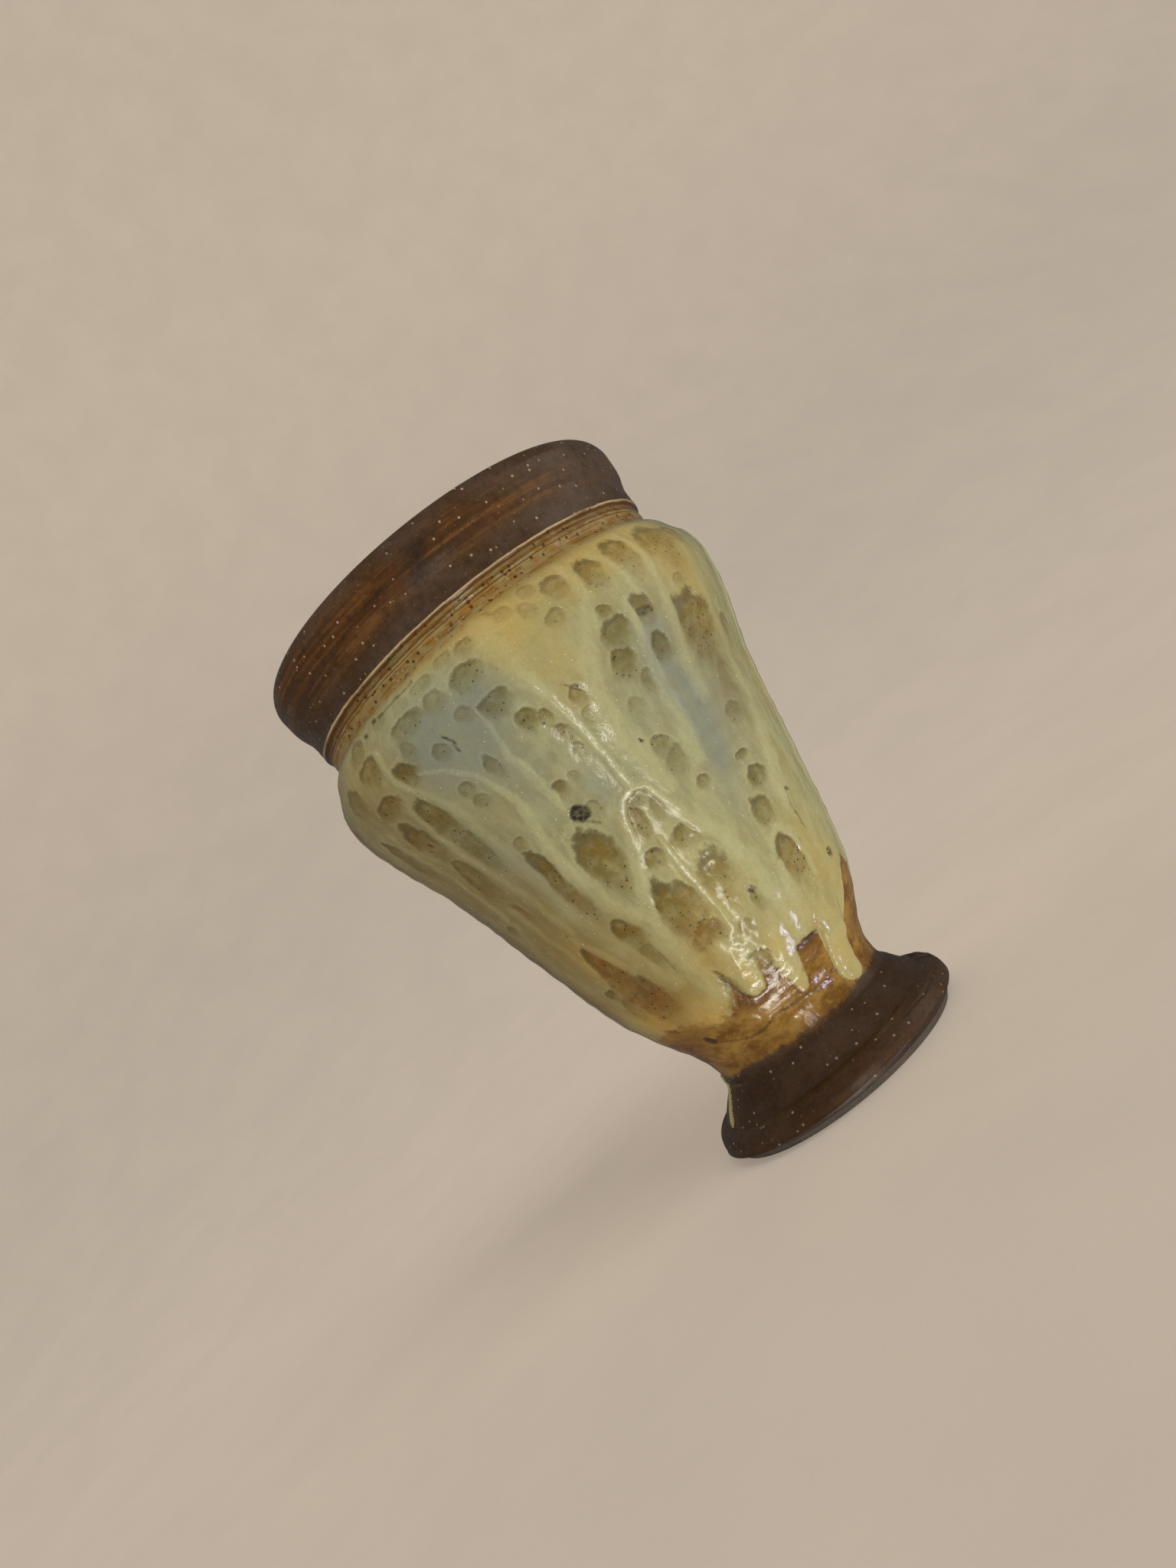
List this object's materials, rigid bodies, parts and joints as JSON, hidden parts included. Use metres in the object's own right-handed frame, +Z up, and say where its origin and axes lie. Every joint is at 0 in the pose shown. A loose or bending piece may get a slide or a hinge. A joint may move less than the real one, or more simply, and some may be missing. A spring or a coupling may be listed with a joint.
{
  "type": "stoneware vase",
  "caption": "Hand-thrown stoneware vase with a flared dark collar, a tapering drip-glazed body and a turned pedestal foot.",
  "frame": {"origin": "centre of the foot ring's underside, on the table", "axes": "+Z up along the vase's axis to its mouth; -Y is the pictured front, and +X is to the right of it"},
  "size_m": [0.1288, 0.1288, 0.18],
  "materials": {
    "bare_stoneware": "matte",
    "foot_glaze": "satin",
    "amber_glaze": "gloss",
    "running_glaze": "gloss",
    "umber_glaze": "satin",
    "liner_glaze": "gloss"
  },
  "bodies": {
    "root": {"foot_ring": "bare_stoneware", "foot_flange": "bare_stoneware", "foot_pedestal": "bare_stoneware", "body": "bare_stoneware", "neck_ring": "bare_stoneware", "collar": "bare_stoneware", "foot_glaze": "foot_glaze", "amber_glaze": "amber_glaze", "body_glaze": "running_glaze", "neck_glaze": "amber_glaze", "collar_glaze": "umber_glaze", "liner_glaze": "liner_glaze", "drip_right": "running_glaze", "drip_middle": "running_glaze", "drip_left": "running_glaze", "side_run": "running_glaze"}
  },
  "joints": []
}
